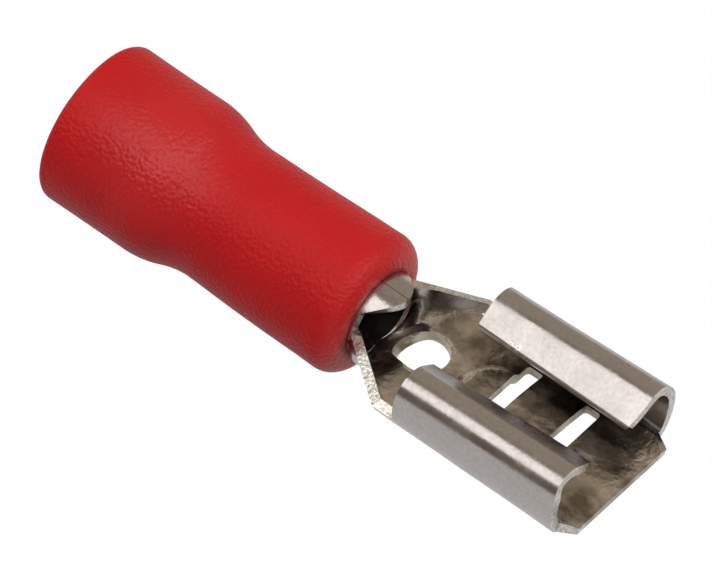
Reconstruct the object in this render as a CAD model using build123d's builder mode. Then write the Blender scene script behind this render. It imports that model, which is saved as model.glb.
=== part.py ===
"""Insulated female spade terminal for a 4.8 x 0.5 mm tab: folded sheet-metal contact and moulded sleeve.

Millimetres. +X points to the mouth that takes the tab, +Z is up, and the sleeve lies on the plane z = 0.
"""

import os
from math import cos, radians, sin

from build123d import *

# Lengths along the terminal.
sleeve_length = 11.2
barrel_reveal = 0.13
neck_length = 2.0
heel_length = 0.8
roll_length = 6.1
tongue_overhang = 0.47
barrel_length = 5.0

# Sheet and receptacle.
sheet = 0.32
receptacle_width = 5.72
floor_bend_radius = 0.6
floor_bend_deg = 68.0
wall_top_deg = 103.0
curl_radius = 0.8
crest_height_rear = 2.1
crest_height_front = 2.4
flange_tuck_deg = 12.0
free_edge_height = 0.84
crest_setback = 0.12
free_edge_setback = 0.82
mouth_wall_height = 1.6
rear_corner_setback = 0.25

# Floor of the receptacle.
floor_drop = 0.58
tongue_slope_deg = 3.0
tongue_length = 1.0
tongue_corner = 0.42
slot_width = 0.57
slot_half_length = 1.85
slot_corner_radius = 0.2
rear_slot_start = 1.6
bridge_length = 1.66
bridge_crown = 0.16
stop_radius = 1.2
stop_height = 0.24

# Neck between the receptacle and the barrel.
neck_wall_height_rear = 1.0
neck_wall_height_front = 0.5
neck_shares = (0.0, 0.25, 0.5, 0.75, 1.0)
neck_rise_share = 0.8
neck_bend_share = 0.7
neck_lean_share = 0.35
neck_wall_deg = 62.0
neck_bend_radius = 0.42
hole_diameter = 1.62
hole_setback = 0.24
edge_margin = 0.6

# Conductor barrel.
barrel_radius = 1.5
barrel_floor_share = 0.08
seam_gap = 0.07
wing_reach = 0.92
wing_root_height = 1.0

# Moulded sleeve.
wire_bore_radius = 2.2
rear_wall = 0.54
waist_wall = 0.81
nose_wall = 0.93
rear_tube_length = 3.2
shoulder_length = 2.3
wire_bore_length = 3.1
funnel_length = 2.2
mouth_flare = 0.12
rear_rim_round = 0.24
front_rim_round = 0.7

# Stations, levels and outer radii worked out from the sizes above.
contact_reach = barrel_reveal + neck_length + heel_length + roll_length + tongue_overhang
overall_length = sleeve_length + contact_reach
sleeve_rear_radius = wire_bore_radius + rear_wall
sleeve_waist_radius = barrel_radius + waist_wall
sleeve_front_radius = barrel_radius + nose_wall
sleeve_rear = -overall_length / 2
sleeve_front = sleeve_rear + sleeve_length
barrel_front = sleeve_front + barrel_reveal
barrel_rear = barrel_front - barrel_length
neck_end = barrel_front + neck_length
roll_rear = neck_end + heel_length
roll_front = roll_rear + roll_length
tongue_front = overall_length / 2
tongue_start = tongue_front - tongue_length
slot_rear = roll_rear + rear_slot_start
bridge_start = slot_rear + slot_width
bridge_end = bridge_start + bridge_length
slot_front = bridge_end + slot_width
axis_height = sleeve_rear_radius
floor_bottom = axis_height - floor_drop
floor_top = floor_bottom + sheet
floor_half = receptacle_width / 2 - floor_bend_radius
barrel_bottom = axis_height - barrel_radius
hole_x = neck_end - hole_setback


def wall_run(rise, bend, heading):
    """Straight length of wall that lifts its end by rise above the floor's underside."""
    return (rise - bend * (1 - cos(heading))) / sin(heading)


def wall_bow(crest):
    """Radius of the outward bow of a side wall that leads from the floor bend to a curl of this crest."""
    bend_end, bow_end = radians(floor_bend_deg), radians(wall_top_deg)
    rise = crest - floor_bend_radius * (1 - cos(bend_end)) - curl_radius * (1 + cos(bow_end))
    return rise / (cos(bend_end) - cos(bow_end))


def channel_edges(half, base, bend, heading_deg, run):
    """Outer line of one half of a U channel, from the middle of its floor to its wall top."""
    floor_line = Line((0, base), (half, base))
    corner = JernArc(start=floor_line @ 1, tangent=(1, 0), radius=bend, arc_size=heading_deg)
    return [floor_line, corner, PolarLine(start=corner @ 1, length=run, angle=heading_deg)]


def channel_section(half, base, bend, heading_deg, wall_top):
    """Closed face of a U channel of sheet, drawn across the terminal."""
    run = wall_run(wall_top - base, bend, radians(heading_deg))
    with BuildSketch(Plane.YZ) as section:
        with BuildLine():
            outer = channel_edges(half, base, bend, heading_deg, run)
            inner = channel_edges(half, base + sheet, bend - sheet, heading_deg, run)
            Line(outer[-1] @ 1, inner[-1] @ 1)
            Line(inner[0] @ 0, outer[0] @ 0)
        make_face()
    return section.sketch


def roll_edges(start, base, bend, bow, curl, flange):
    """One face of the rolled wall: floor, bend, bowed wall, curl and the flange down to its free edge."""
    floor_line = Line((start, base), (floor_half, base))
    corner = JernArc(start=floor_line @ 1, tangent=(1, 0), radius=bend, arc_size=floor_bend_deg)
    wall_turn = wall_top_deg - floor_bend_deg
    wall = JernArc(start=corner @ 1, tangent=corner % 1, radius=bow, arc_size=wall_turn)
    curl_turn = 270 + flange_tuck_deg - wall_top_deg
    top = JernArc(start=wall @ 1, tangent=wall % 1, radius=curl, arc_size=curl_turn)
    edge = PolarLine(start=top @ 1, length=flange, angle=270 + flange_tuck_deg)
    return [floor_line, corner, wall, top, edge]


def roll_section(crest):
    """Closed face of the rolled wall whose crest stands at this height above the floor's underside."""
    bow = wall_bow(crest)
    tuck = radians(flange_tuck_deg)
    flange = (crest - curl_radius * (1 + sin(tuck)) - free_edge_height) / cos(tuck)
    start = floor_half - sheet / 4
    with BuildSketch(Plane.YZ) as section:
        with BuildLine():
            outer = roll_edges(start, floor_bottom, floor_bend_radius, bow, curl_radius, flange)
            inner = roll_edges(
                start, floor_top, floor_bend_radius - sheet, bow - sheet, curl_radius - sheet, flange
            )
            Line(outer[-1] @ 1, inner[-1] @ 1)
            Line(inner[0] @ 0, outer[0] @ 0)
        make_face()
    return section.sketch


def blend(low, high, share):
    """Value that leaves low and reaches high without a kink."""
    return low + (high - low) * share * share * (3 - 2 * share)


with BuildPart() as roll:
    rear_face = Pos(roll_rear, 0, 0) * roll_section(crest_height_rear)
    front_face = Pos(roll_front, 0, 0) * roll_section(crest_height_front)
    loft([rear_face.face(), front_face.face()], ruled=True)
    # The mouth end falls back over the crest, and further along the flange to the free edge.
    crest_level = floor_bottom + crest_height_front
    clear_level = crest_level + sheet
    free_edge_level = floor_bottom + free_edge_height
    cut_level = free_edge_level - sheet / 2
    curl_centre = floor_half + floor_bend_radius * sin(radians(floor_bend_deg)) - curl_radius / 2
    with BuildSketch(Plane.XZ):
        with BuildLine():
            Polyline(
                (roll_front, floor_bottom + mouth_wall_height),
                (roll_front + edge_margin, floor_bottom + mouth_wall_height),
                (roll_front + edge_margin, clear_level),
                (roll_front - crest_setback, clear_level),
                (roll_front - crest_setback, crest_level),
            )
            Spline(
                (roll_front - crest_setback, crest_level),
                (roll_front, floor_bottom + mouth_wall_height),
                tangents=((0, -1), (0, -1)),
            )
        make_face()
    extrude(amount=receptacle_width, both=True, mode=Mode.SUBTRACT)
    with BuildSketch(Plane.XZ.offset(-curl_centre)):
        with BuildLine():
            Polyline(
                (roll_front - free_edge_setback, free_edge_level),
                (roll_front - free_edge_setback, cut_level),
                (roll_front + edge_margin, cut_level),
                (roll_front + edge_margin, clear_level),
                (roll_front - crest_setback, clear_level),
                (roll_front - crest_setback, crest_level),
            )
            Spline(
                (roll_front - crest_setback, crest_level),
                (roll_front - free_edge_setback, free_edge_level),
                tangents=((0, -1), (-1, -0.9)),
            )
        make_face()
    extrude(amount=receptacle_width, mode=Mode.SUBTRACT)
    with BuildSketch(Plane.XZ.offset(-curl_centre)):
        with BuildLine():
            Polyline(
                (roll_rear, crest_level),
                (roll_rear - edge_margin, crest_level),
                (roll_rear - edge_margin, cut_level),
                (roll_rear + rear_corner_setback, cut_level),
                (roll_rear + rear_corner_setback, free_edge_level),
            )
            Spline(
                (roll_rear, crest_level),
                (roll_rear + rear_corner_setback, free_edge_level),
                tangents=((0, -1), (0.8, -1)),
            )
        make_face()
    extrude(amount=receptacle_width, mode=Mode.SUBTRACT)

with BuildPart() as floor:
    tongue_fall = tongue_length * sin(radians(tongue_slope_deg))
    with BuildSketch(Plane.XZ):
        with BuildLine():
            Polyline(
                (roll_rear, floor_bottom),
                (tongue_start, floor_bottom),
                (tongue_front, floor_bottom - tongue_fall),
                (tongue_front, floor_top - tongue_fall),
                (tongue_start, floor_top),
                (roll_rear, floor_top),
                close=True,
            )
        make_face()
    extrude(amount=receptacle_width / 2, both=True)
    # Plan outline: full width under the mouth only ahead of the rolls, with the corners cut away.
    tongue_half = floor_half + floor_bend_radius / 2
    with BuildSketch(Plane.XY):
        with BuildLine():
            Polyline(
                (roll_rear, -floor_half),
                (roll_front, -floor_half),
                (roll_front, -tongue_half),
                (tongue_front, -tongue_half + tongue_corner),
                (tongue_front, tongue_half - tongue_corner),
                (roll_front, tongue_half),
                (roll_front, floor_half),
                (roll_rear, floor_half),
                close=True,
            )
        make_face()
    extrude(amount=floor_top + sheet, mode=Mode.INTERSECT)
    # Half-dome pressed up behind the rear slot: the tab comes to rest against its open edge.
    dome_radius = (stop_radius**2 + stop_height**2) / (2 * stop_height)
    with BuildSketch(Plane.XZ):
        with BuildLine():
            Polyline(
                (slot_rear - stop_radius, floor_top),
                (slot_rear, floor_top),
                (slot_rear, floor_top + stop_height),
            )
            RadiusArc(
                (slot_rear - stop_radius, floor_top),
                (slot_rear, floor_top + stop_height),
                dome_radius,
            )
        make_face()
    revolve(axis=Axis((slot_rear, 0, 0), (0, 0, 1)), revolution_arc=360)
    with Locations((slot_rear, 0, floor_top + stop_height - dome_radius)):
        Sphere(dome_radius - sheet, mode=Mode.SUBTRACT)
    with BuildSketch(Plane.XY.offset(floor_bottom - sheet)):
        with Locations(((slot_rear + slot_front) / 2, 0)):
            Rectangle(slot_front - slot_rear, 2 * slot_half_length)
            fillet(vertices(), slot_corner_radius)
    extrude(amount=3 * sheet + stop_height, mode=Mode.SUBTRACT)

with BuildPart() as bridge:
    with BuildSketch(Plane.YZ.offset(bridge_start)):
        with BuildLine():
            ThreePointArc(
                (-slot_half_length, floor_bottom),
                (0, floor_bottom + bridge_crown),
                (slot_half_length, floor_bottom),
            )
            Line((slot_half_length, floor_bottom), (slot_half_length, floor_top))
            ThreePointArc(
                (slot_half_length, floor_top),
                (0, floor_top + bridge_crown),
                (-slot_half_length, floor_top),
            )
            Line((-slot_half_length, floor_top), (-slot_half_length, floor_bottom))
        make_face()
    extrude(amount=bridge_length)

with BuildPart() as neck:
    sections = []
    wall_top_half = receptacle_width / 2
    for share in neck_shares:
        heading_deg = blend(90, neck_wall_deg, min(1, share / neck_lean_share))
        heading = radians(heading_deg)
        bend_share = min(1, share / neck_bend_share)
        bend = blend(barrel_radius * (1 - barrel_floor_share), neck_bend_radius, bend_share)
        base = blend(barrel_bottom, floor_bottom, min(1, share / neck_rise_share))
        wall_height = neck_wall_height_rear + (neck_wall_height_front - neck_wall_height_rear) * share
        wall_top = floor_bottom + wall_height
        top_half = barrel_radius + (wall_top_half - barrel_radius) * share
        lean = wall_run(wall_top - base, bend, heading) * cos(heading)
        half_floor = top_half - lean - bend * sin(heading)
        face = channel_section(half_floor, base, bend, heading_deg, wall_top)
        sections.append((Pos(barrel_front + neck_length * share, 0, 0) * face).face())
    loft(sections)
    heel = channel_section(
        floor_half,
        floor_bottom,
        floor_bend_radius,
        floor_bend_deg,
        floor_bottom + neck_wall_height_front,
    )
    loft([sections[-1], (Pos(roll_rear, 0, 0) * heel).face()], ruled=True)
    mirror(about=Plane.XZ)

with BuildPart() as barrel:
    with BuildSketch(Plane.YZ.offset(barrel_rear)):
        with Locations((0, axis_height)):
            Circle(barrel_radius)
            Circle(barrel_radius - sheet, mode=Mode.SUBTRACT)
        with Locations((0, axis_height + barrel_radius)):
            Rectangle(seam_gap, barrel_radius, mode=Mode.SUBTRACT)
    extrude(amount=barrel_length + wing_reach)
    # The wings' front edges run forward as they close over the top, and meet in a blunt point.
    with BuildSketch(Plane.XZ):
        with BuildLine():
            Spline(
                (barrel_front, axis_height + wing_root_height),
                (barrel_front + wing_reach, axis_height + barrel_radius),
                tangents=((1, 1.3), (1, 0.15)),
            )
            Polyline(
                (barrel_front + wing_reach, axis_height + barrel_radius),
                (barrel_front + wing_reach + edge_margin, axis_height + barrel_radius),
                (barrel_front + wing_reach + edge_margin, barrel_bottom - sheet),
                (barrel_front, barrel_bottom - sheet),
                (barrel_front, axis_height + wing_root_height),
            )
        make_face()
    extrude(amount=2 * barrel_radius, both=True, mode=Mode.SUBTRACT)

with BuildPart() as contact:
    add(floor.part)
    add(bridge.part)
    add(roll.part)
    add(mirror(roll.part, about=Plane.XZ))
    add(neck.part)
    add(barrel.part)
    with Locations((hole_x, 0, floor_bottom)):
        Cylinder(hole_diameter / 2, 2 * neck_wall_height_rear, mode=Mode.SUBTRACT)
contact.part.label = "contact"

with BuildPart() as sleeve:
    shoulder_start = sleeve_rear + rear_tube_length
    shoulder_end = shoulder_start + shoulder_length
    bore_end = sleeve_rear + wire_bore_length
    funnel_end = bore_end + funnel_length
    with BuildSketch(Plane.XZ):
        with BuildLine():
            Line(
                (sleeve_rear, axis_height + sleeve_rear_radius),
                (shoulder_start, axis_height + sleeve_rear_radius),
            )
            shoulder_middle = (
                (shoulder_start + shoulder_end) / 2,
                axis_height + (sleeve_rear_radius + sleeve_waist_radius) / 2,
            )
            round_over = TangentArc(
                (shoulder_start, axis_height + sleeve_rear_radius), shoulder_middle, tangent=(1, 0)
            )
            TangentArc(
                shoulder_middle,
                (shoulder_end, axis_height + sleeve_waist_radius),
                tangent=round_over % 1,
            )
            Line(
                (shoulder_end, axis_height + sleeve_waist_radius),
                (sleeve_front, axis_height + sleeve_front_radius),
            )
            Polyline(
                (sleeve_front, axis_height + sleeve_front_radius),
                (sleeve_front, axis_height + barrel_radius),
                (funnel_end, axis_height + barrel_radius),
                (bore_end, axis_height + wire_bore_radius),
                (sleeve_rear + mouth_flare, axis_height + wire_bore_radius),
                (sleeve_rear, axis_height + wire_bore_radius + mouth_flare),
                (sleeve_rear, axis_height + sleeve_rear_radius),
            )
        make_face()
    revolve(axis=Axis((0, 0, axis_height), (1, 0, 0)))
    rear_rim = sleeve.edges().filter_by(GeomType.CIRCLE).group_by(Axis.X)[0].sort_by(SortBy.RADIUS)[-1]
    fillet(rear_rim, rear_rim_round)
    front_rim = sleeve.edges().filter_by(GeomType.CIRCLE).group_by(Axis.X)[-1].sort_by(SortBy.RADIUS)[-1]
    fillet(front_rim, front_rim_round)
sleeve.part.label = "sleeve"

os.makedirs("parts", exist_ok=True)
export_step(contact.part, "parts/contact.step")
export_step(sleeve.part, "parts/sleeve.step")
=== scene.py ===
"""Insulated female spade terminal: a folded tin-plated contact in a red moulded sleeve."""

import math

import bmesh
import bpy
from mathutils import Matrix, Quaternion, Vector, noise


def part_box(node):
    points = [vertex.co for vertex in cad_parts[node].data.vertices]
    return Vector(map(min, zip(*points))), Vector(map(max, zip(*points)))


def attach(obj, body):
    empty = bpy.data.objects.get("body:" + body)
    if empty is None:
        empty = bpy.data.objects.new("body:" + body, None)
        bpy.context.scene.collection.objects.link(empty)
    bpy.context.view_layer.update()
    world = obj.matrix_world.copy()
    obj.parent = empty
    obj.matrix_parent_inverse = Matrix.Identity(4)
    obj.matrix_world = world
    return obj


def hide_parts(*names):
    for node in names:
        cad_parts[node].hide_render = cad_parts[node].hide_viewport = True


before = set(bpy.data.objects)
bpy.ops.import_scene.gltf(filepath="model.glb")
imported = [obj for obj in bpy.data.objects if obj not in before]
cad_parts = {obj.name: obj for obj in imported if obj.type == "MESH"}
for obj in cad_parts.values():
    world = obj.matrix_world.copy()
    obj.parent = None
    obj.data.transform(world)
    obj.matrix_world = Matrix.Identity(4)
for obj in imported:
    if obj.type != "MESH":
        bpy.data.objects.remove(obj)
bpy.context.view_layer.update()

# Sleeve. One piece of soft red PVC, injection moulded in a spark-eroded mould that leaves a pebbled
# grain. It is pressed over the contact's barrel from behind, and its nose ends just short of the
# barrel's front edge.
mm = 0.001
sleeve_low, sleeve_high = (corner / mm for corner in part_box("sleeve"))
contact_low, contact_high = (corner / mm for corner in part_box("contact"))
axis_height = (sleeve_low.z + sleeve_high.z) / 2
rear_radius = (sleeve_high.z - sleeve_low.z) / 2
barrel_radius = axis_height - contact_low.z
waist_radius = 2.31
nose_radius = 2.43
wire_bore_radius = 2.2
rear_tube_length = 3.2
shoulder_length = 2.3
wire_bore_length = 3.1
funnel_length = 2.2
mouth_flare = 0.12
rear_rim_round = 0.24
nose_round = 0.7
profile_step = 0.1
turn_steps = 168
rim_arc_steps = 6
nose_arc_steps = 10
weld_distance = 0.001


def linear(hex_colour):
    """Linear RGBA of an sRGB colour written as #RRGGBB."""
    channels = [int(hex_colour[i : i + 2], 16) / 255 for i in (1, 3, 5)]
    return (*[c / 12.92 if c <= 0.04045 else ((c + 0.055) / 1.055) ** 2.4 for c in channels], 1.0)


def add_node(tree, kind, links=(), **settings):
    """Adds a node, sets its properties and inputs, and links (output, input) pairs into it."""
    node = tree.nodes.new(kind)
    for name, value in settings.items():
        if hasattr(node, name):
            setattr(node, name, value)
        else:
            node.inputs[name.replace("_", " ")].default_value = value
    for output, name in links:
        tree.links.new(output, node.inputs[name])
    return node


def new_material(name):
    """Empty node material, with its tree and its Principled shader linked to the output."""
    material = bpy.data.materials.new(name)
    material.use_nodes = True
    tree = material.node_tree
    tree.nodes.clear()
    output = tree.nodes.new("ShaderNodeOutputMaterial")
    shader = tree.nodes.new("ShaderNodeBsdfPrincipled")
    tree.links.new(shader.outputs["BSDF"], output.inputs["Surface"])
    return material, tree, shader


def finish_piece(bm, name, materials, node):
    """Turns a mesh built in millimetres into a piece in metres that stands for a node of the frame."""
    bmesh.ops.scale(bm, vec=(mm, mm, mm), verts=bm.verts)
    mesh = bpy.data.meshes.new(name)
    bm.to_mesh(mesh)
    bm.free()
    mesh.polygons.foreach_set("use_smooth", [True] * len(mesh.polygons))
    for material in materials:
        mesh.materials.append(material)
    piece = bpy.data.objects.new(name, mesh)
    bpy.context.scene.collection.objects.link(piece)
    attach(piece, "root")
    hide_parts(node)
    return piece


def ease(low, high, share):
    """Value that leaves low and reaches high without a kink, for a share from 0 to 1."""
    share = min(1, max(0, share))
    return low + (high - low) * share * share * (3 - 2 * share)


def arc(centre, radius, start_deg, end_deg, steps):
    """Points on an arc in the plane of the sleeve's profile, its end points included."""
    angles = [math.radians(start_deg + (end_deg - start_deg) * k / steps) for k in range(steps + 1)]
    return [(centre[0] + radius * math.cos(a), centre[1] + radius * math.sin(a)) for a in angles]


def run(start, end, step):
    """Points on a straight stretch of the profile, without its last point."""
    count = max(1, round(math.dist(start, end) / step))
    return [tuple(a + (b - a) * k / count for a, b in zip(start, end)) for k in range(count)]


shoulder_start = sleeve_low.x + rear_tube_length
shoulder_end = shoulder_start + shoulder_length
bore_end = sleeve_low.x + wire_bore_length
funnel_end = bore_end + funnel_length
mouth_edge = (sleeve_low.x, wire_bore_radius + mouth_flare)
rim_centre = (sleeve_low.x + rear_rim_round, rear_radius - rear_rim_round)
profile = arc(rim_centre, rear_rim_round, 180, 90, rim_arc_steps)
profile += run(profile.pop(), (shoulder_start, rear_radius), profile_step)
# The shoulder is two equal arcs, the first bulging out and the second hollow.
fall = rear_radius - waist_radius
shoulder_arc = (shoulder_length**2 + fall**2) / (4 * fall)
shoulder_turn = math.degrees(math.asin(shoulder_length / 2 / shoulder_arc))
shoulder_steps = round(shoulder_length / 2 / profile_step)
round_centre = (shoulder_start, rear_radius - shoulder_arc)
hollow_centre = (shoulder_end, waist_radius + shoulder_arc)
profile += arc(round_centre, shoulder_arc, 90, 90 - shoulder_turn, shoulder_steps)
profile += arc(hollow_centre, shoulder_arc, 270 - shoulder_turn, 270, shoulder_steps)[1:-1]
nose_start = (sleeve_high.x - nose_round, nose_radius)
profile += run((shoulder_end, waist_radius), nose_start, profile_step)
profile += arc((nose_start[0], nose_radius - nose_round), nose_round, 90, 0, nose_arc_steps)
profile += run((sleeve_high.x, barrel_radius), (funnel_end, barrel_radius), profile_step)
profile += run((funnel_end, barrel_radius), (bore_end, wire_bore_radius), profile_step)
flare_start = (sleeve_low.x + mouth_flare, wire_bore_radius)
profile += run((bore_end, wire_bore_radius), flare_start, profile_step)
profile += run(flare_start, mouth_edge, profile_step)
profile.append(mouth_edge)

sleeve_bm = bmesh.new()
ring = [sleeve_bm.verts.new((x, 0, axis_height + radius)) for x, radius in profile]
edges = [sleeve_bm.edges.new(pair) for pair in zip(ring, ring[1:] + ring[:1])]
bmesh.ops.spin(
    sleeve_bm,
    geom=ring + edges,
    cent=(0, 0, axis_height),
    axis=(1, 0, 0),
    angle=math.tau,
    steps=turn_steps,
    use_merge=True,
)
bmesh.ops.remove_doubles(sleeve_bm, verts=sleeve_bm.verts, dist=weld_distance)
bmesh.ops.recalc_face_normals(sleeve_bm, faces=sleeve_bm.faces)

# Moulded skin is never quite true: it has a slow swell, and the largest pebbles of the grain.
swell_length, swell_height = 2.6, 0.02
pebble_length, pebble_height = 0.5, 0.003
sleeve_bm.normal_update()
for vert in sleeve_bm.verts:
    swell = noise.noise(vert.co / swell_length) * swell_height
    pebble = noise.noise(vert.co / pebble_length) * pebble_height
    vert.co += vert.normal * (swell + pebble)

# Red PVC with a spark-eroded grain: a saturated red, a soft broad sheen and fine pebbles that break
# the sheen up into specks.
pvc, pvc_tree, pvc_shader = new_material("red_pvc_grained")
patch_size = 1.5
grain_size, grain_height = 0.12, 0.05
speck_size, speck_height = 0.07, 0.02
pvc_place = add_node(pvc_tree, "ShaderNodeTexCoord").outputs["Object"]
patches = add_node(pvc_tree, "ShaderNodeTexNoise", [(pvc_place, "Vector")], Scale=1 / (patch_size * mm))
# A mix node has inputs of the same name for each kind of value, so its two colours go by number.
colour_a, colour_b = 6, 7
pvc_colour = add_node(pvc_tree, "ShaderNodeMix", [(patches.outputs["Fac"], "Factor")], data_type="RGBA")
pvc_colour.inputs[colour_a].default_value = linear("#B91418")
pvc_colour.inputs[colour_b].default_value = linear("#CC1A1E")
grain = add_node(
    pvc_tree,
    "ShaderNodeTexVoronoi",
    [(pvc_place, "Vector")],
    feature="SMOOTH_F1",
    Scale=1 / (grain_size * mm),
)
specks = add_node(
    pvc_tree,
    "ShaderNodeTexNoise",
    [(pvc_place, "Vector")],
    Scale=1 / (speck_size * mm),
    Detail=3.0,
)
grain_bump = add_node(
    pvc_tree,
    "ShaderNodeBump",
    [(grain.outputs["Distance"], "Height")],
    invert=True,
    Strength=0.75,
    Distance=grain_height * mm,
)
speck_bump = add_node(
    pvc_tree,
    "ShaderNodeBump",
    [(specks.outputs["Fac"], "Height"), (grain_bump.outputs["Normal"], "Normal")],
    Strength=0.7,
    Distance=speck_height * mm,
)
# Handling has polished the skin in a patch where the wide tube passes into the shoulder, and the
# mould was polished at the nose.
gloss_centre = (-6.9, -1.2, 5.1)
gloss_inner, gloss_outer = 0.4, 3.2
gloss_weight, nose_weight = 0.55, 0.3
gloss_reach = add_node(pvc_tree, "ShaderNodeVectorMath", [(pvc_place, 0)], operation="DISTANCE")
gloss_reach.inputs[1].default_value = [place * mm for place in gloss_centre]
gloss = add_node(
    pvc_tree,
    "ShaderNodeMapRange",
    [(gloss_reach.outputs["Value"], "Value")],
    interpolation_type="SMOOTHSTEP",
    From_Min=gloss_outer * mm,
    From_Max=gloss_inner * mm,
    To_Max=gloss_weight,
)
pvc_along = add_node(pvc_tree, "ShaderNodeSeparateXYZ", [(pvc_place, "Vector")])
nose_gloss = add_node(
    pvc_tree,
    "ShaderNodeMapRange",
    [(pvc_along.outputs["X"], "Value")],
    interpolation_type="SMOOTHSTEP",
    From_Min=nose_start[0] * mm,
    From_Max=sleeve_high.x * mm,
    To_Max=nose_weight,
)
gloss_all = add_node(
    pvc_tree,
    "ShaderNodeMath",
    [(gloss.outputs["Result"], 0), (nose_gloss.outputs["Result"], 1)],
    operation="ADD",
)
pvc_tree.links.new(gloss_all.outputs[0], pvc_shader.inputs["Coat Weight"])
pvc_tree.links.new(speck_bump.outputs["Normal"], pvc_shader.inputs["Coat Normal"])
pvc_tree.links.new(pvc_colour.outputs[2], pvc_shader.inputs["Base Color"])
pvc_tree.links.new(speck_bump.outputs["Normal"], pvc_shader.inputs["Normal"])
pvc_shader.inputs["Roughness"].default_value = 0.48
pvc_shader.inputs["IOR"].default_value = 1.53
pvc_shader.inputs["Specular IOR Level"].default_value = 0.18
pvc_shader.inputs["Coat Roughness"].default_value = 0.26
finish_piece(sleeve_bm, "sleeve_skin", [pvc], "sleeve")

# Contact. One blank of tin-plated brass sheet, pierced and folded in a progressive die: the sides are
# rolled over to grip the tab, and the rear is curled into the barrel that the wire is crimped in.
# Nothing is joined on, so it is one folded sheet here too.
sheet = 0.32
receptacle_width = 5.72
floor_drop = 0.58
floor_bottom = axis_height - floor_drop
bend_radius = 0.6
bend_end = math.radians(68)
floor_half = receptacle_width / 2 - bend_radius

# Rolled sides of the receptacle: a bowed wall, a curl over the crest, a flatter flange, a tight lip,
# and a tuck down to the free edge.
wall_end = math.radians(103)
curl_radius = 0.8
flange_slope = math.radians(34)
flange_rear, flange_front = 0.68, 0.91
lip_radius = 0.15
tuck_lean = math.radians(12)
full_turn = math.pi * 3 / 2 + tuck_lean - wall_end
curl_turn = math.pi + flange_slope - wall_end
lip_turn = full_turn - curl_turn
crest_rear, crest_front = 2.1, 2.4
free_edge_height = 0.84
mouth_wall_height = 1.6
crest_setback, edge_setback = 0.12, 0.82
rear_corner_setback = 0.25
setback_bow = 0.52

# Barrel with its two wings, neck with the sight hole, and the heel where the rolls begin.
seam_gap = 0.02
barrel_showing = 0.13
barrel_front = sleeve_high.x + barrel_showing
wing_reach = 0.92
wing_root_rise = 1.0
wing_root = math.asin(wing_root_rise / barrel_radius)
wing_hollow = 1.15
neck_length = 2.0
neck_end = barrel_front + neck_length
neck_wall_rear, neck_wall_front = 1.0, 0.5
neck_wall_end = math.radians(62)
neck_bend = 0.42
barrel_bend_share = 0.92
lean_share, bend_share, floor_share = 0.35, 0.7, 0.8
hole_radius = 0.81
hole_setback = 0.24
hole_x = neck_end - hole_setback
heel_length = 0.8
roll_rear = neck_end + heel_length

# Floor of the receptacle: two slots with a bowed bridge between them, the tab stop and the tongue.
slot_width = 0.57
slot_half = 1.76
slot_corner = 0.13
slot_setback = 1.6
slot_rear = roll_rear + slot_setback
bridge_length = 1.66
bridge_crown = 0.16
stop_radius, stop_height = 1.2, 0.24
dome_flat = 0.84
edge_margin = 0.01
tongue_length = 0.47
tongue_fall = 0.05
tongue_corner = 0.42
roll_front = contact_high.x - tongue_length

# Rows of the blank along the terminal: each entry is the place of a line on the sheet and the number
# of cells up to it. Columns run from the middle line outwards: each entry is a zone of the folded
# section and its number of cells.
row_marks = [
    (contact_low.x, 0),
    (barrel_front, 30),
    (2 * hole_x - roll_rear, 14),
    (roll_rear, 24),
    (slot_rear, 16),
    (slot_rear + slot_width, 6),
    (slot_rear + slot_width + bridge_length, 16),
    (slot_rear + 2 * slot_width + bridge_length, 6),
    (roll_front, 18),
    (contact_high.x, 6),
]
zone_cells = {
    "slot": 16,
    "floor": 4,
    "bend": 10,
    "low_wall": 4,
    "high_wall": 10,
    "curl": 16,
    "flange": 8,
    "lip": 8,
    "tuck": 5,
}


def line_values(marks):
    """Places of all lines, spread evenly between the marked ones, and the index of each mark."""
    values, at = [marks[0][0]], [0]
    for (start, _), (end, count) in zip(marks, marks[1:]):
        values += [start + (end - start) * (k + 1) / count for k in range(count)]
        at.append(len(values) - 1)
    return values, at


rows, row_at = line_values(row_marks)
barrel_row, patch_row, roll_row, slot_a, slot_b, slot_c, slot_d, mouth_row, last_row = row_at[1:]
column_at = {}
column_count = 0
for zone, count in zone_cells.items():
    column_count += count
    column_at[zone] = column_count


def column_place(column):
    """Zone that a column lies in, and how far through it, from 0 to 1."""
    start = 0
    for zone, end in column_at.items():
        if column <= end:
            return zone, (column - start) / (end - start)
        start = end


def wall_length(rise, bend, heading):
    """Straight length of wall that lifts its end by rise above the floor's underside."""
    return (rise - bend * (1 - math.cos(heading))) / math.sin(heading)


def swing(start, radius, heading, turn):
    """End (y, z) and heading of an arc of the folded section that turns to the left."""
    y = start[0] + radius * (math.sin(heading + turn) - math.sin(heading))
    z = start[1] + radius * (math.cos(heading) - math.cos(heading + turn))
    return (y, z), heading + turn


def floor_fold(half, base, zone, share):
    """Place on the flat floor of a point in its inner zone, as wide as the slots, or its outer zone."""
    inner = half * slot_half / floor_half
    if zone == "slot":
        return inner * share, base
    return inner + (half - inner) * share, base


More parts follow.
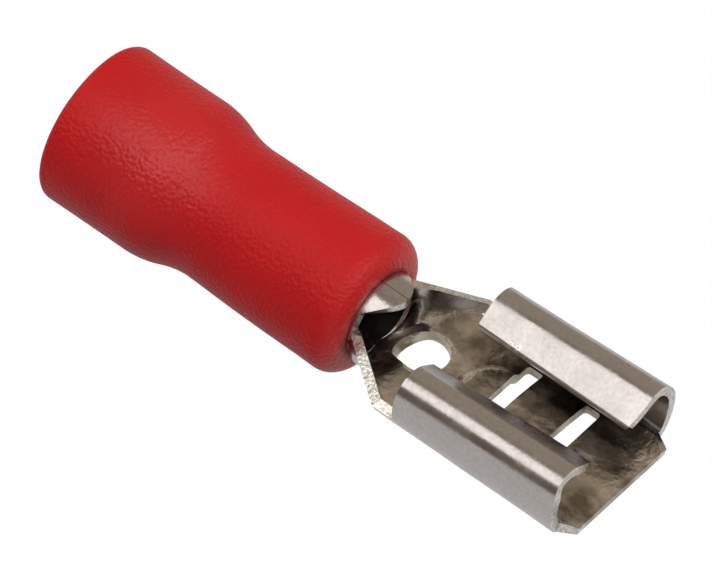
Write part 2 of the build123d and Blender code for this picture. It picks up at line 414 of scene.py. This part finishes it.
def roll_fold(crest, zone, share):
    """Place on the section of a rolled side whose crest is at a height, given by zone and share."""
    if zone in ("slot", "floor"):
        return floor_fold(floor_half, floor_bottom, zone, share)
    place, heading = (floor_half, floor_bottom), 0
    if zone == "bend":
        return swing(place, bend_radius, heading, bend_end * share)[0]
    place, heading = swing(place, bend_radius, heading, bend_end)
    bend_rise = bend_radius * (1 - math.cos(bend_end))
    wall_rise = crest - bend_rise - curl_radius * (1 + math.cos(wall_end))
    bow = wall_rise / (math.cos(bend_end) - math.cos(wall_end))
    low_rise = neck_wall_front - bend_rise
    low_turn = math.acos(math.cos(bend_end) - low_rise / bow) - bend_end
    if zone == "low_wall":
        return swing(place, bow, heading, low_turn * share)[0]
    if zone == "high_wall":
        return swing(place, bow, heading, low_turn + (wall_end - bend_end - low_turn) * share)[0]
    place, heading = swing(place, bow, heading, wall_end - bend_end)
    if zone == "curl":
        return swing(place, curl_radius, heading, curl_turn * share)[0]
    full_curl, _ = swing(place, curl_radius, heading, full_turn)
    place, heading = swing(place, curl_radius, heading, curl_turn)
    crest_share = (crest - crest_rear) / (crest_front - crest_rear)
    flange = flange_rear + (flange_front - flange_rear) * crest_share
    reach = flange * share if zone == "flange" else flange
    place = (place[0] + reach * math.cos(heading), place[1] + reach * math.sin(heading))
    if zone == "flange":
        return place
    if zone == "lip":
        return swing(place, lip_radius, heading, lip_turn * share)[0]
    place, heading = swing(place, lip_radius, heading, lip_turn)
    # The free edge is where a full curl with no flange would have brought it.
    drop = crest - curl_radius * (1 + math.sin(tuck_lean)) - free_edge_height
    edge = (full_curl[0] + drop * math.tan(tuck_lean), floor_bottom + free_edge_height)
    return place[0] + (edge[0] - place[0]) * share, place[1] + (edge[1] - place[1]) * share


def neck_sizes(x):
    """Half width of the floor, its height, the bend, the wall's heading and the wall's top at a place."""
    along = min(1, (x - barrel_front) / neck_length)
    heading = ease(math.pi / 2, neck_wall_end, along / lean_share)
    bend = ease(barrel_radius * barrel_bend_share, neck_bend, along / bend_share)
    base = ease(axis_height - barrel_radius, floor_bottom, along / floor_share)
    top = floor_bottom + neck_wall_rear + (neck_wall_front - neck_wall_rear) * along
    top_half = barrel_radius + (receptacle_width / 2 - barrel_radius) * along
    lean = wall_length(top - base, bend, heading) * math.cos(heading)
    half = top_half - lean - bend * math.sin(heading)
    heel = max(0, (x - neck_end) / (roll_rear - neck_end))
    half += (floor_half - half) * heel
    bend += (bend_radius - bend) * heel
    heading += (bend_end - heading) * heel
    return half, base, bend, heading, top


def neck_section(x, zone, share):
    """Outer face of the neck, which opens from the barrel's round bottom to the flat floor."""
    half, base, bend, heading, top = neck_sizes(x)
    if zone in ("slot", "floor"):
        return floor_fold(half, base, zone, share)
    if zone == "bend":
        return swing((half, base), bend, 0, heading * share)[0]
    place, heading = swing((half, base), bend, 0, heading)
    along = wall_length(top - base, bend, heading) * share
    return place[0] + along * math.cos(heading), place[1] + along * math.sin(heading)


def barrel_section(zone, share, column):
    """Outer face of the barrel: the neck's lines run on round the tube, and the rest closes it."""
    end = column_at["low_wall"]
    seam_angle = math.pi / 2 - seam_gap / 2 / barrel_radius
    if column <= end:
        y, z = neck_section(barrel_front, zone, share)
        angle = math.atan2(z - axis_height, y)
    else:
        y, z = neck_section(barrel_front, "low_wall", 1)
        start = math.atan2(z - axis_height, y)
        angle = start + (seam_angle - start) * (column - end) / (column_count - end)
    return barrel_radius * math.cos(angle), axis_height + barrel_radius * math.sin(angle)


def dome(x, y):
    """Height of the half-dome pressed up behind the rear slot, which stops the tab."""
    reach = math.hypot(x - slot_rear, y)
    if reach >= stop_radius or x > slot_rear + edge_margin:
        return 0
    return ease(0, stop_height, (stop_radius - reach) / (stop_radius - dome_flat))


def wing_edge(angle):
    """How far past the neck's start the barrel's edge lies at an angle round the tube."""
    share = max(0, (angle - wing_root) / (math.pi / 2 - wing_root))
    return wing_reach * math.sin(share * math.pi / 2) ** wing_hollow


def sheet_place(row, column):
    """Place on the outer face of the folded sheet of a line crossing, given by row and column."""
    low = min(last_row, math.floor(row))
    high = min(last_row, low + 1)
    x = rows[low] + (rows[high] - rows[low]) * (row - low)
    zone, share = column_place(column)
    if row <= barrel_row:
        y, z = barrel_section(zone, share, column)
        x += wing_edge(math.atan2(z - axis_height, y)) * row / barrel_row
        return x, y, z
    if row < roll_row:
        return (x, *neck_section(x, zone, share))
    if row > mouth_row:
        past = (x - roll_front) / (contact_high.x - roll_front)
        half = floor_half - tongue_corner * past
        base = floor_bottom - tongue_fall * past
        if zone in ("slot", "floor"):
            return (x, *floor_fold(half, base, zone, share))
        (y, z), _ = swing((half, base), bend_radius, 0, bend_end * share)
        return x, y, base + (z - base) * (1 - past)
    crest = crest_rear + (crest_front - crest_rear) * (x - roll_rear) / (roll_front - roll_rear)
    y, z = roll_fold(crest, zone, share)
    if slot_b <= row <= slot_c and zone == "slot":
        z += bridge_crown * (1 - (y / slot_half) ** 2)
    if zone in ("slot", "floor"):
        z += dome(x, y)
    return x, y, z


def end_setback(column, z, crest, crest_part, edge_part):
    """How far an end of a roll falls back: a little up to the crest, then more to the free edge."""
    zone, share = column_place(column)
    past_curl = zone in ("flange", "lip", "tuck")
    over_crest = past_curl or (zone == "curl" and wall_end + curl_turn * share > math.pi)
    if over_crest:
        drop = (crest - z) / (crest - floor_bottom - free_edge_height)
        bowed = drop * drop * (setback_bow + (1 - setback_bow) * drop)
        return crest_part + (edge_part - crest_part) * bowed
    wall_top = floor_bottom + mouth_wall_height
    return ease(0, crest_part, (z - wall_top) / (crest - wall_top))


def floor_level(x, y):
    """Height of the neck's outer face under a point of its floor."""
    half, base, bend, _, _ = neck_sizes(x)
    past = min(bend, max(0, y - half))
    return base + bend - math.sqrt(bend**2 - past**2)


contact_bm = bmesh.new()
bmesh.ops.create_grid(contact_bm, x_segments=last_row, y_segments=column_count, size=1)
grid = {}
for vert in contact_bm.verts:
    grid[vert] = (round((vert.co.x + 1) / 2 * last_row), round((vert.co.y + 1) / 2 * column_count))

# Piercing and trimming of the blank: the cells beside the neck and the tongue and those in the slots
# and the sight hole are waste. The creases at the heel, the hole's burr and the stop's edge get the
# torn tin with a painted highlight, and the floor of the neck and the channel gets darker, browner tin
# with painted shade and a painted reflection of the brown room.
torn_highlight_slot, floor_shade_slot = 1, 2
patch_middle = (patch_row + roll_row) / 2
patch_rows = (roll_row - patch_row) / 2
hole_share = 0.5
tongue_bend_columns = 4
crease_rows = 6
waste = []
for face in contact_bm.faces:
    row = min(grid[v][0] for v in face.verts)
    column = min(grid[v][1] for v in face.verts)
    in_neck = barrel_row <= row < roll_row and column >= column_at["low_wall"]
    in_tongue = row >= mouth_row and column >= column_at["floor"] + tongue_bend_columns
    in_slot = (slot_a <= row < slot_b or slot_c <= row < slot_d) and column < column_at["slot"]
    off_row = abs(row + 0.5 - patch_middle) / patch_rows
    off_column = (column + 0.5) / column_at["slot"]
    ring = max(off_row, off_column)
    if in_neck or in_tongue or in_slot or ring < hole_share:
        waste.append(face)
        continue
    near_heel = patch_row - crease_rows <= row < roll_row
    in_crease = near_heel and column_at["floor"] <= column <= column_at["bend"]
    on_burr = ring < hole_share + 1 / patch_rows
    x, y, _ = sheet_place(row + 0.5, column + 0.5)
    on_stop = x < slot_rear and dome_flat < math.hypot(x - slot_rear, y) < stop_radius
    # Creases at the heel, the hole's burr ring and the stop's slope get brighter tin: a painted
    # highlight.
    if in_crease or on_burr or on_stop:
        face.material_index = torn_highlight_slot
    # The floor of the neck and the channel takes the darker, browner tin: painted shade and reflection.
    elif row >= barrel_row and column < column_at["floor"]:
        face.material_index = floor_shade_slot
bmesh.ops.delete(contact_bm, geom=waste, context="FACES")

# Folding: each line crossing goes to its place on the outer face. The cells round the sight hole are
# spread from a round rim, and the ends of the rolls fall back.
setback_rows = 14
for vert in contact_bm.verts:
    row, column = grid[vert]
    off_row = (row - patch_middle) / patch_rows
    off_column = column / column_at["slot"]
    ring = max(abs(off_row), off_column)
    if hole_share <= ring < 1:
        outer_row = patch_middle + off_row / ring * patch_rows
        outer = Vector(sheet_place(outer_row, off_column / ring * column_at["slot"]))
        angle = math.atan2(off_column, off_row)
        rim_x, rim_y = hole_x + hole_radius * math.cos(angle), hole_radius * math.sin(angle)
        inner = Vector((rim_x, rim_y, floor_level(rim_x, rim_y)))
        vert.co = inner.lerp(outer, (ring - hole_share) / (1 - hole_share))
        vert.co.z = floor_level(vert.co.x, vert.co.y)
        continue
    vert.co = sheet_place(row, column)
    if roll_row <= row <= mouth_row and column > column_at["low_wall"]:
        forward = max(0, row - mouth_row + setback_rows) / setback_rows
        front = end_setback(column, vert.co.z, floor_bottom + crest_front, crest_setback, edge_setback)
        vert.co.x -= front * forward
        backward = max(0, roll_row + setback_rows - row) / setback_rows
        rear = end_setback(column, vert.co.z, floor_bottom + crest_rear, 0, rear_corner_setback)
        vert.co.x += rear * backward

# Punched slots have small round corners.
corner_margin = 1.01
for edge_row, side in ((slot_a, 1), (slot_b, -1), (slot_c, 1), (slot_d, -1)):
    centre = Vector((rows[edge_row] + side * slot_corner, slot_half - slot_corner))
    for vert in contact_bm.verts:
        row, column = grid[vert]
        on_edge = row == edge_row and column <= column_at["slot"]
        on_end = column == column_at["slot"] and (slot_a <= row <= slot_b or slot_c <= row <= slot_d)
        reach = Vector(vert.co.xy) - centre
        near = -slot_corner * corner_margin <= reach.x * side <= 0 <= reach.y
        if (on_edge or on_end) and near and reach.length > slot_corner:
            vert.co.xy = centre + reach.normalized() * slot_corner

half_sheet = contact_bm.verts[:] + contact_bm.edges[:] + contact_bm.faces[:]
bmesh.ops.mirror(contact_bm, geom=half_sheet, axis="Y")
bmesh.ops.remove_doubles(contact_bm, verts=contact_bm.verts, dist=weld_distance)
bmesh.ops.recalc_face_normals(contact_bm, faces=contact_bm.faces)
tongue_front = Vector((contact_high.x, 0, floor_bottom))
floor_face = min(contact_bm.faces, key=lambda face: (face.calc_center_median() - tongue_front).length)
if floor_face.normal.z > 0:
    bmesh.ops.reverse_faces(contact_bm, faces=contact_bm.faces)

# Stamped sheet is never quite flat: a slow wave and small dents bend its reflections.
contact_bm.normal_update()
wave_length, wave_height = 1.6, 0.014
dent_length, dent_height = 0.45, 0.002
for vert in contact_bm.verts:
    wave = noise.noise(vert.co / wave_length) * wave_height
    dent = noise.noise(vert.co / dent_length) * dent_height
    vert.co += vert.normal * (wave + dent)

# Tin-plated brass, bright from the mill's rolls: a warm pale grey mirror, a little cloudy.
tin, tin_tree, tin_shader = new_material("tin_plated_brass")
cloud_size = 0.9
mottle_size, mottle_height = 0.13, 0.008
tin_place = add_node(tin_tree, "ShaderNodeTexCoord").outputs["Object"]
clouds = add_node(
    tin_tree,
    "ShaderNodeTexNoise",
    [(tin_place, "Vector")],
    Scale=1 / (cloud_size * mm),
    Detail=4.0,
)
mottle = add_node(
    tin_tree,
    "ShaderNodeTexNoise",
    [(tin_place, "Vector")],
    Scale=1 / (mottle_size * mm),
    Detail=3.0,
)
tin_rough = add_node(
    tin_tree,
    "ShaderNodeMapRange",
    [(clouds.outputs["Fac"], "Value")],
    From_Min=0.3,
    From_Max=0.7,
    To_Min=0.15,
    To_Max=0.3,
)
tin_colour = add_node(tin_tree, "ShaderNodeMix", [(mottle.outputs["Fac"], "Factor")], data_type="RGBA")
tin_colour.inputs[colour_a].default_value = linear("#A39D9A")
tin_colour.inputs[colour_b].default_value = linear("#C1BBB8")
tin_bump = add_node(
    tin_tree,
    "ShaderNodeBump",
    [(mottle.outputs["Fac"], "Height")],
    Strength=0.5,
    Distance=mottle_height * mm,
)
tin_tree.links.new(tin_rough.outputs["Result"], tin_shader.inputs["Roughness"])
tin_tree.links.new(tin_bump.outputs["Normal"], tin_shader.inputs["Normal"])
tin_tree.links.new(tin_colour.outputs[2], tin_shader.inputs["Base Color"])
tin_shader.inputs["Metallic"].default_value = 1.0


def flecked_tin(name, fleck_size, detail, dark, light, bump_height, roughness):
    """Plating in flecks of two colours, each as high as it is light; used for painted shade and
    highlight.
    """
    material, tree, shader = new_material(name)
    place = add_node(tree, "ShaderNodeTexCoord").outputs["Object"]
    flecks = add_node(
        tree,
        "ShaderNodeTexNoise",
        [(place, "Vector")],
        Scale=1 / (fleck_size * mm),
        Detail=detail,
    )
    share = add_node(
        tree,
        "ShaderNodeMapRange",
        [(flecks.outputs["Fac"], "Value")],
        From_Min=0.35,
        From_Max=0.65,
    )
    colour = add_node(tree, "ShaderNodeMix", [(share.outputs["Result"], "Factor")], data_type="RGBA")
    colour.inputs[colour_a].default_value = linear(dark)
    colour.inputs[colour_b].default_value = linear(light)
    bump = add_node(
        tree,
        "ShaderNodeBump",
        [(flecks.outputs["Fac"], "Height")],
        Strength=1.0,
        Distance=bump_height * mm,
    )
    tree.links.new(colour.outputs[2], shader.inputs["Base Color"])
    tree.links.new(bump.outputs["Normal"], shader.inputs["Normal"])
    shader.inputs["Metallic"].default_value = 1.0
    shader.inputs["Roughness"].default_value = roughness
    return material


# The floor of the neck and the channel is painted darker and browner than the rest of the tin, in
# blotches, and is a little rougher: painted shade under the rolls and a painted reflection of the
# brown room.
floor_fleck_height = 0.14
floor_shade_tin = flecked_tin("floor_tin_painted_shade", cloud_size, 4.0, "#756B5D", "#C4BAAC", floor_fleck_height, 0.3)

# Cut edges of the sheet, the creases at the heel, the hole's burr and the stop's slope: rough tin,
# flecked light and dark as torn by the die, and brighter than the rest, which is a painted highlight.
tear_size, tear_height = 0.1, 0.013
torn_tin_with_highlight = flecked_tin("torn_tin_painted_highlight", tear_size, 3.0, "#ACA59E", "#DDD8D3", tear_height, 0.24)

contact = finish_piece(contact_bm, "contact_sheet", [tin, torn_tin_with_highlight, floor_shade_tin], "contact")
edge_round = 0.12
sharp_angle = math.radians(40)
thicken = contact.modifiers.new("sheet", "SOLIDIFY")
thicken.thickness = sheet * mm
thicken.offset = -1
thicken.use_even_offset = True
thicken.use_quality_normals = True
# The cut edges of the sheet take the torn tin, brightened by a painted highlight.
thicken.material_offset_rim = torn_highlight_slot
soften = contact.modifiers.new("sheared_edge", "BEVEL")
soften.limit_method = "ANGLE"
soften.angle_limit = sharp_angle
soften.width = edge_round * mm
soften.segments = 4
soften.profile = 0.5
soften.harden_normals = True

# Studio. A sheet of white paper lies flat under the terminal and shows as plain white with a faint
# shadow. Round it are four soft boxes and a brown room, darker on the camera's side, which the metal
# mirrors.
floor_reach = 1.5
paper_eye_share, paper_mirror_share = 0.93, 0.66
floor_bm = bmesh.new()
bmesh.ops.create_grid(floor_bm, x_segments=1, y_segments=1, size=floor_reach)
floor_mesh = bpy.data.meshes.new("studio_floor")
floor_bm.to_mesh(floor_mesh)
floor_bm.free()
paper, paper_tree, paper_shader = new_material("white_paper_floor")
paper_shader.inputs["Base Color"].default_value = linear("#747474")
paper_shader.inputs["Roughness"].default_value = 0.9
paper_ray = add_node(paper_tree, "ShaderNodeLightPath")
eye_ray = add_node(
    paper_tree,
    "ShaderNodeMath",
    [(paper_ray.outputs["Is Camera Ray"], 0), (paper_ray.outputs["Is Transmission Ray"], 1)],
    operation="MAXIMUM",
)
eye_white = add_node(paper_tree, "ShaderNodeMath", [(eye_ray.outputs[0], 0)], operation="MULTIPLY")
eye_white.inputs[1].default_value = paper_eye_share
mirror_ray = paper_ray.outputs["Is Glossy Ray"]
mirror_white = add_node(paper_tree, "ShaderNodeMath", [(mirror_ray, 0)], operation="MULTIPLY")
mirror_white.inputs[1].default_value = paper_mirror_share
white_share = add_node(
    paper_tree,
    "ShaderNodeMath",
    [(eye_white.outputs[0], 0), (mirror_white.outputs[0], 1)],
    operation="MAXIMUM",
)
paper_white = add_node(paper_tree, "ShaderNodeEmission", Color=(1, 1, 1, 1), Strength=1.07)
paper_mix = add_node(
    paper_tree,
    "ShaderNodeMixShader",
    [(white_share.outputs[0], 0), (paper_shader.outputs["BSDF"], 1), (paper_white.outputs[0], 2)],
)
paper_output = next(node for node in paper_tree.nodes if node.type == "OUTPUT_MATERIAL")
paper_tree.links.new(paper_mix.outputs[0], paper_output.inputs["Surface"])
floor_mesh.materials.append(paper)
floor = bpy.data.objects.new("studio_floor", floor_mesh)
bpy.context.scene.collection.objects.link(floor)

# Each lamp: direction it comes from, distance, its two sides, and power in watts.
soft_boxes = [
    ("key_box", (-0.1, -0.48, 0.87), 0.36, 0.35, 0.26, 0.53),
    ("fill_box", (0.62, 0.12, 0.78), 0.40, 0.34, 0.34, 0.66),
    ("side_box", (0.75, -0.6, 0.28), 0.40, 0.16, 0.16, 0.10),
    ("rear_box", (-0.9, -0.1, 0.42), 0.40, 0.26, 0.26, 0.30),
]
for name, heading, distance, side, depth, watts in soft_boxes:
    lamp = bpy.data.lights.new(name, "AREA")
    lamp.shape = "RECTANGLE"
    lamp.size = side
    lamp.size_y = depth
    lamp.energy = watts
    soft_box = bpy.data.objects.new(name, lamp)
    soft_box.location = Vector(heading).normalized() * distance
    soft_box.rotation_mode = "QUATERNION"
    soft_box.rotation_quaternion = (-soft_box.location).to_track_quat("-Z", "Y")
    bpy.context.scene.collection.objects.link(soft_box)

world = bpy.data.worlds.new("studio")
bpy.context.scene.world = world
world.use_nodes = True
world_tree = world.node_tree
world_tree.nodes.clear()
sky_place = add_node(world_tree, "ShaderNodeTexCoord").outputs["Generated"]
sky_split = add_node(world_tree, "ShaderNodeSeparateXYZ", [(sky_place, "Vector")])
side_ramp = add_node(
    world_tree,
    "ShaderNodeMapRange",
    [(sky_split.outputs["Y"], "Value")],
    interpolation_type="SMOOTHSTEP",
    From_Min=-0.35,
    From_Max=0.45,
)
side_share = side_ramp.outputs["Result"]
wall_colour = add_node(world_tree, "ShaderNodeMix", [(side_share, "Factor")], data_type="RGBA")
wall_colour.inputs[colour_a].default_value = linear("#7D7165")
wall_colour.inputs[colour_b].default_value = linear("#B9AD9E")
room = add_node(world_tree, "ShaderNodeBackground", [(wall_colour.outputs[2], "Color")], Strength=1.0)
plain = add_node(world_tree, "ShaderNodeBackground", Color=(1, 1, 1, 1), Strength=1.0)
ray = add_node(world_tree, "ShaderNodeLightPath")
seen = add_node(
    world_tree,
    "ShaderNodeMixShader",
    [(ray.outputs["Is Camera Ray"], 0), (room.outputs[0], 1), (plain.outputs[0], 2)],
)
add_node(world_tree, "ShaderNodeOutputWorld", [(seen.outputs[0], "Surface")])

# Camera at the angle of the photograph, long enough to keep the terminal's sides nearly parallel.
camera_distance = 0.27142
camera_azimuth = math.radians(-56.863)
camera_elevation = math.radians(49.067)
camera_roll = math.radians(8)
camera_target = Vector((-0.042, 0, 3.379)) * mm
frame_width = 712
focal_pixels = 9000
lens_data = bpy.data.cameras.new("camera")
lens_data.sensor_width = 36
lens_data.lens = focal_pixels / frame_width * lens_data.sensor_width
lens_data.clip_start = 0.01
back = Vector(
    (
        math.cos(camera_elevation) * math.cos(camera_azimuth),
        math.cos(camera_elevation) * math.sin(camera_azimuth),
        math.sin(camera_elevation),
    )
)
camera = bpy.data.objects.new("camera", lens_data)
camera.location = camera_target + back * camera_distance
camera.rotation_mode = "QUATERNION"
camera.rotation_quaternion = (-back).to_track_quat("-Z", "Y") @ Quaternion((0, 0, 1), camera_roll)
bpy.context.scene.collection.objects.link(camera)
bpy.context.scene.camera = camera
bpy.context.scene.view_settings.view_transform = "Standard"
